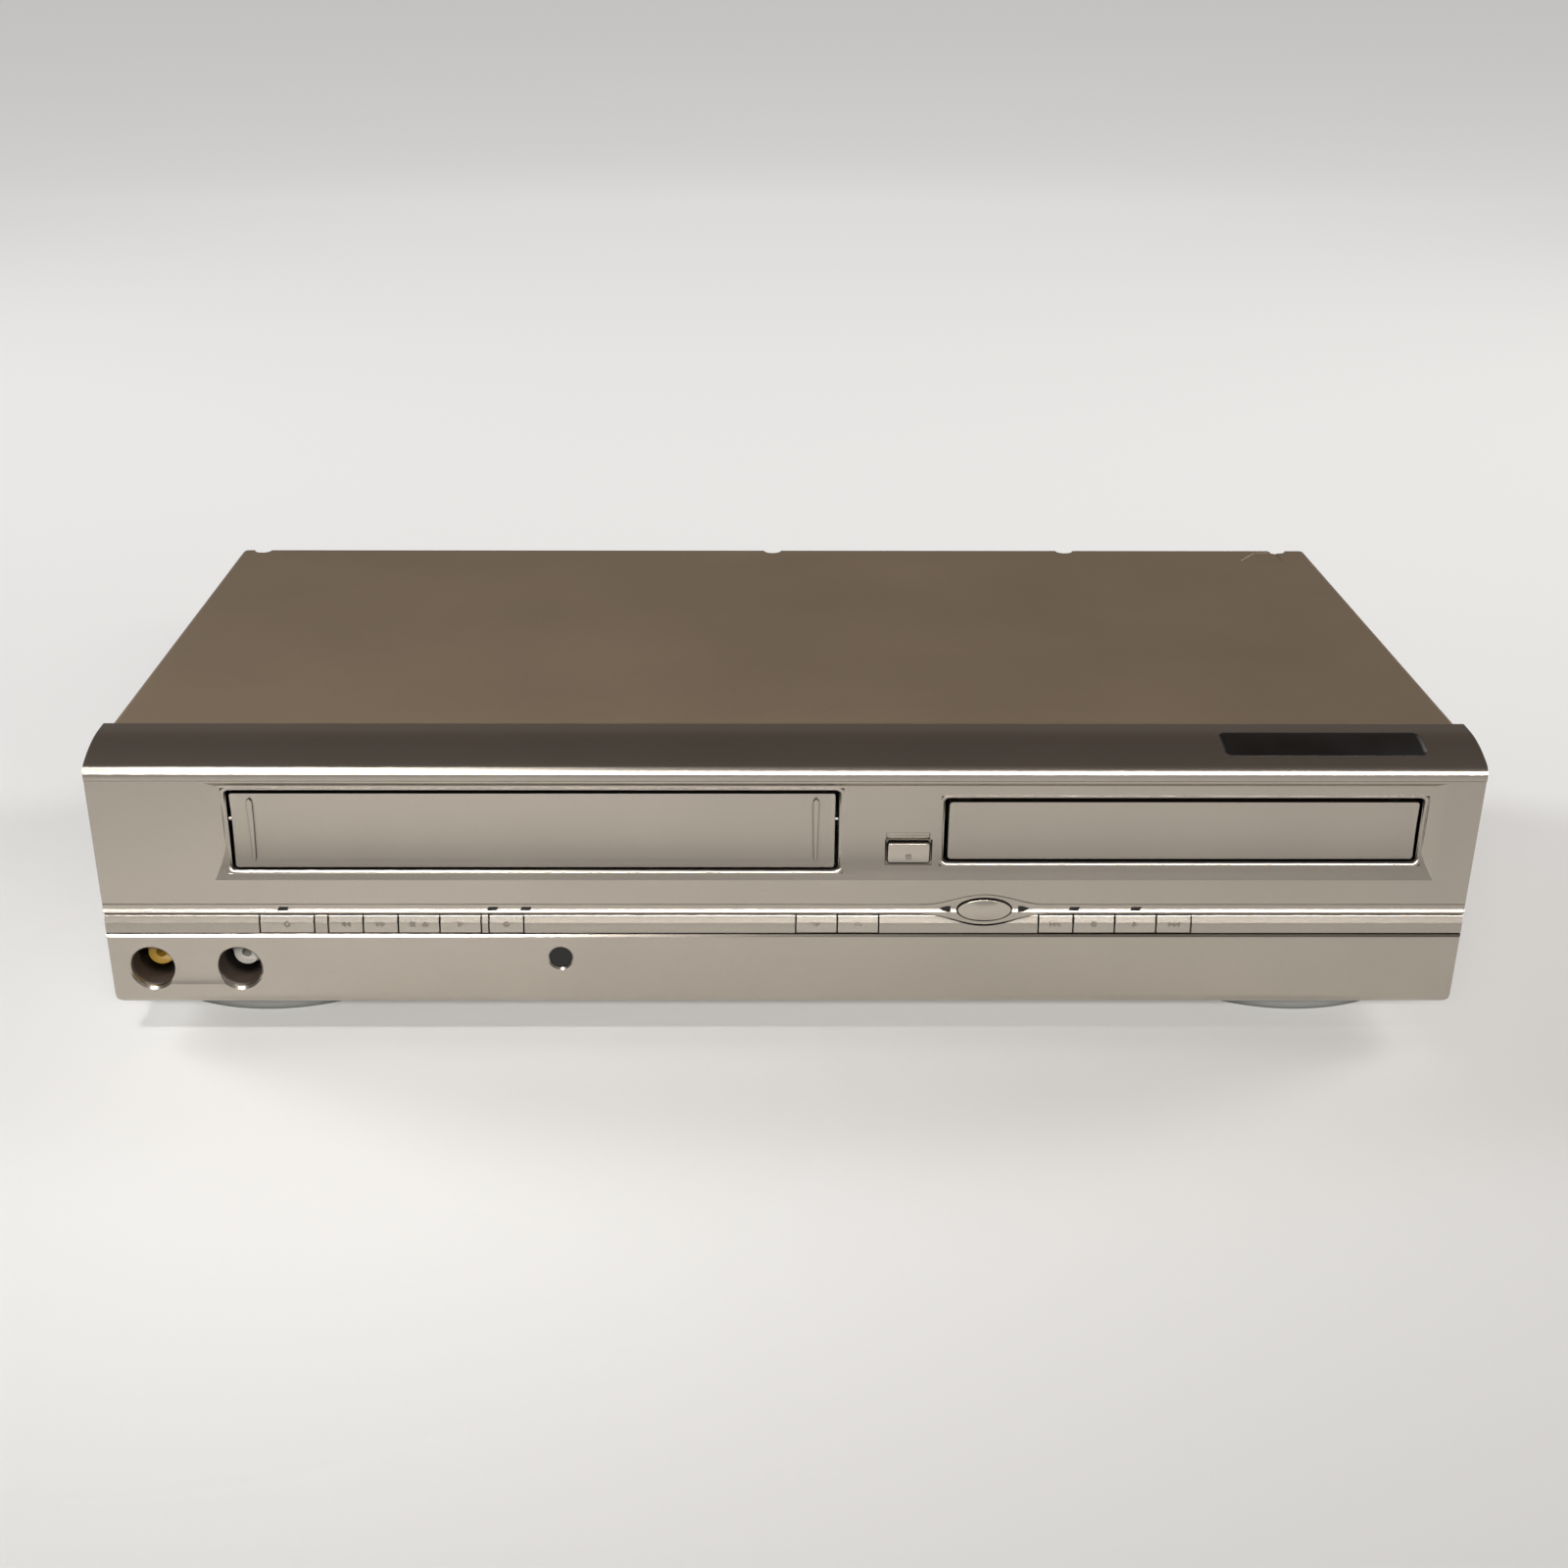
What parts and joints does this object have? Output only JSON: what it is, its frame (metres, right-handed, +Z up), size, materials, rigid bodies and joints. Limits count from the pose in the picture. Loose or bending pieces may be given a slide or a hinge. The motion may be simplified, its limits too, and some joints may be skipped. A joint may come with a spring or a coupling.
{
  "type": "dvd vcr combo player",
  "caption": "Low wide disc and tape combo player with a moulded silver front, a hinged cassette door, a sliding disc tray, a strip of keys and jack wells, on wide oval feet.",
  "frame": {"origin": "middle of the footprint, on the surface that the feet stand on", "axes": "+X to the right seen from the front, +Y from the front to the back, +Z up"},
  "size_m": [0.435, 0.232, 0.0993],
  "materials": {
    "cover_paint": "satin",
    "zinc_steel": "satin",
    "rear_paint": "matte",
    "silver_plastic": "satin",
    "foot_plastic": "satin",
    "rubber": "matte",
    "dark_steel": "satin",
    "lens": "gloss",
    "window": "gloss",
    "board_green": "satin",
    "yellow_plastic": "gloss",
    "white_plastic": "gloss",
    "ivory_plastic": "satin",
    "black_plastic": "satin",
    "aluminium": "satin",
    "chrome": "gloss",
    "bright_steel": "gloss"
  },
  "bodies": {
    "case": {"top_cover": "cover_paint", "bottom_chassis": "zinc_steel", "front_panel": "silver_plastic", "rear_panel": "rear_paint", "front_feet": "foot_plastic", "rear_feet": "rubber", "cover_screws": "dark_steel", "indicator_lenses": "lens", "infrared_window": "window", "function_board": "board_green", "video_jack": "yellow_plastic", "audio_jack": "white_plastic", "door_spring": "bright_steel", "tape_deck": "zinc_steel", "carriage_guides": "zinc_steel", "drum_base": "aluminium", "capstan_motor": "dark_steel", "reel_belt": "rubber", "tape_heads": "chrome", "loader_frame": "ivory_plastic", "tray_motor": "bright_steel", "tray_belt": "rubber", "main_board": "board_green", "tuner": "zinc_steel", "rear_jacks": "black_plastic", "cord_gland": "black_plastic"},
    "standby_key": {"standby_key": "silver_plastic"},
    "rewind_key": {"rewind_key": "silver_plastic"},
    "fast_forward_key": {"fast_forward_key": "silver_plastic"},
    "stop_eject_key": {"stop_eject_key": "silver_plastic"},
    "tape_play_key": {"tape_play_key": "silver_plastic"},
    "record_key": {"record_key": "silver_plastic"},
    "channel_down_key": {"channel_down_key": "silver_plastic"},
    "channel_up_key": {"channel_up_key": "silver_plastic"},
    "previous_key": {"previous_key": "silver_plastic"},
    "disc_stop_key": {"disc_stop_key": "silver_plastic"},
    "disc_play_key": {"disc_play_key": "silver_plastic"},
    "next_key": {"next_key": "silver_plastic"},
    "source_key": {"source_key": "silver_plastic"},
    "open_close_key": {"open_close_key": "silver_plastic"},
    "cassette_door": {"cassette_door": "silver_plastic"},
    "carriage_slider": {"carriage_slider": "zinc_steel"},
    "cassette_carriage": {"cassette_carriage": "zinc_steel"},
    "head_drum": {"head_drum": "aluminium"},
    "capstan": {"capstan": "bright_steel"},
    "supply_reel": {"supply_reel": "black_plastic"},
    "takeup_reel": {"takeup_reel": "black_plastic"},
    "clutch_pulley": {"clutch_pulley": "ivory_plastic"},
    "supply_guide": {"supply_guide": "chrome"},
    "takeup_guide": {"takeup_guide": "chrome"},
    "pinch_arm": {"pinch_arm": "zinc_steel"},
    "pinch_roller": {"pinch_roller": "rubber"},
    "tray_gear": {"tray_gear": "ivory_plastic"},
    "motor_pulley": {"motor_pulley": "ivory_plastic"},
    "traverse_frame": {"traverse_frame": "dark_steel"},
    "turntable": {"turntable": "black_plastic"},
    "pickup_sled": {"pickup_sled": "black_plastic"},
    "disc_clamper": {"disc_clamper": "ivory_plastic"},
    "tray": {"disc_tray": "black_plastic", "tray_front": "silver_plastic"}
  },
  "joints": [
    {"name": "standby_press", "type": "slide", "parent": "case", "child": "standby_key", "axis": [0, 1, 0], "range_m": [0, 0.0008], "stiffness_N_per_m": 500},
    {"name": "rewind_press", "type": "slide", "parent": "case", "child": "rewind_key", "axis": [0, 1, 0], "range_m": [0, 0.0008], "stiffness_N_per_m": 500},
    {"name": "fast_forward_press", "type": "slide", "parent": "case", "child": "fast_forward_key", "axis": [0, 1, 0], "range_m": [0, 0.0008], "stiffness_N_per_m": 500},
    {"name": "stop_eject_press", "type": "slide", "parent": "case", "child": "stop_eject_key", "axis": [0, 1, 0], "range_m": [0, 0.0008], "stiffness_N_per_m": 500},
    {"name": "tape_play_press", "type": "slide", "parent": "case", "child": "tape_play_key", "axis": [0, 1, 0], "range_m": [0, 0.0008], "stiffness_N_per_m": 500},
    {"name": "record_press", "type": "slide", "parent": "case", "child": "record_key", "axis": [0, 1, 0], "range_m": [0, 0.0008], "stiffness_N_per_m": 500},
    {"name": "channel_down_press", "type": "slide", "parent": "case", "child": "channel_down_key", "axis": [0, 1, 0], "range_m": [0, 0.0008], "stiffness_N_per_m": 500},
    {"name": "channel_up_press", "type": "slide", "parent": "case", "child": "channel_up_key", "axis": [0, 1, 0], "range_m": [0, 0.0008], "stiffness_N_per_m": 500},
    {"name": "previous_press", "type": "slide", "parent": "case", "child": "previous_key", "axis": [0, 1, 0], "range_m": [0, 0.0008], "stiffness_N_per_m": 500},
    {"name": "disc_stop_press", "type": "slide", "parent": "case", "child": "disc_stop_key", "axis": [0, 1, 0], "range_m": [0, 0.0008], "stiffness_N_per_m": 500},
    {"name": "disc_play_press", "type": "slide", "parent": "case", "child": "disc_play_key", "axis": [0, 1, 0], "range_m": [0, 0.0008], "stiffness_N_per_m": 500},
    {"name": "next_press", "type": "slide", "parent": "case", "child": "next_key", "axis": [0, 1, 0], "range_m": [0, 0.0008], "stiffness_N_per_m": 500},
    {"name": "source_press", "type": "slide", "parent": "case", "child": "source_key", "axis": [0, 1, 0], "range_m": [0, 0.0008], "stiffness_N_per_m": 500},
    {"name": "open_close_press", "type": "slide", "parent": "case", "child": "open_close_key", "axis": [0, 1, 0], "range_m": [0, 0.0008], "stiffness_N_per_m": 500},
    {"name": "door_swing", "type": "hinge", "parent": "case", "child": "cassette_door", "pos_m": [0, -0.1064, 0.092], "axis": [1, 0, 0], "range_deg": [0, 90], "stiffness_Nm_per_rad": 0.01, "springref_deg": -22.92},
    {"name": "carriage_travel", "type": "slide", "parent": "case", "child": "carriage_slider", "axis": [0, 1, 0], "range_m": [0, 0.044]},
    {"name": "carriage_drop", "type": "slide", "parent": "carriage_slider", "child": "cassette_carriage", "axis": [0, 0, -1], "range_m": [0, 0.018]},
    {"name": "drum_spin", "type": "hinge", "parent": "case", "child": "head_drum", "pos_m": [-0.07905, 0.0476, 0.035], "axis": [0, -0.1045, 0.9945], "continuous": true},
    {"name": "capstan_spin", "type": "hinge", "parent": "case", "child": "capstan", "pos_m": [-0.02105, 0.0076, 0.04], "axis": [0, 0, 1], "continuous": true},
    {"name": "clutch_spin", "type": "hinge", "parent": "case", "child": "clutch_pulley", "pos_m": [-0.07905, -0.0364, 0.026], "axis": [0, 0, 1], "continuous": true},
    {"name": "supply_reel_spin", "type": "hinge", "parent": "case", "child": "supply_reel", "pos_m": [-0.12505, -0.0474, 0.04], "axis": [0, 0, 1], "continuous": true},
    {"name": "takeup_reel_spin", "type": "hinge", "parent": "case", "child": "takeup_reel", "pos_m": [-0.03305, -0.0474, 0.04], "axis": [0, 0, 1], "continuous": true},
    {"name": "supply_guide_travel", "type": "slide", "parent": "case", "child": "supply_guide", "axis": [-0.3324, 0.9432, 0], "range_m": [0, 0.0445]},
    {"name": "takeup_guide_travel", "type": "slide", "parent": "case", "child": "takeup_guide", "axis": [0.3324, 0.9432, 0], "range_m": [0, 0.0445]},
    {"name": "pinch_swing", "type": "hinge", "parent": "case", "child": "pinch_arm", "pos_m": [0.00195, 0.0216, 0.04], "axis": [0, 0, 1], "range_deg": [0, 35]},
    {"name": "pinch_roller_spin", "type": "hinge", "parent": "pinch_arm", "child": "pinch_roller", "pos_m": [-0.0226, 0.03284, 0.054], "axis": [0, 0, 1], "continuous": true},
    {"name": "tray_slide", "type": "slide", "parent": "case", "child": "tray", "axis": [0, -1, 0], "range_m": [0, 0.14]},
    {"name": "tray_gear_spin", "type": "hinge", "parent": "case", "child": "tray_gear", "pos_m": [0.07775, -0.0944, 0.062], "axis": [0, 0, 1], "range_deg": [0, 804]},
    {"name": "motor_pulley_spin", "type": "hinge", "parent": "case", "child": "motor_pulley", "pos_m": [0.11575, -0.0824, 0.06], "axis": [0, 0, 1], "range_deg": [0, 2385]},
    {"name": "traverse_lift", "type": "hinge", "parent": "case", "child": "traverse_frame", "pos_m": [0.125, 0.0556, 0.061], "axis": [-1, 0, 0], "range_deg": [0, 5]},
    {"name": "turntable_spin", "type": "hinge", "parent": "traverse_frame", "child": "turntable", "pos_m": [0.125, -0.04203, 0.05246], "axis": [0, -0.0872, 0.9962], "continuous": true},
    {"name": "sled_slide", "type": "slide", "parent": "traverse_frame", "child": "pickup_sled", "axis": [0, 0.9962, 0.0872], "range_m": [0, 0.034]},
    {"name": "clamper_spin", "type": "hinge", "parent": "case", "child": "disc_clamper", "pos_m": [0.125, -0.0424, 0.085], "axis": [0, 0, 1], "continuous": true}
  ],
  "couplings": [
    {"joint": "tray_gear_spin", "follows": "tray_slide", "rad_per_m": 100},
    {"joint": "motor_pulley_spin", "follows": "tray_slide", "rad_per_m": 297.14},
    {"joint": "clutch_spin", "follows": "capstan_spin", "ratio": 0.53846},
    {"joint": "takeup_guide_travel", "follows": "supply_guide_travel", "ratio": 1}
  ]
}
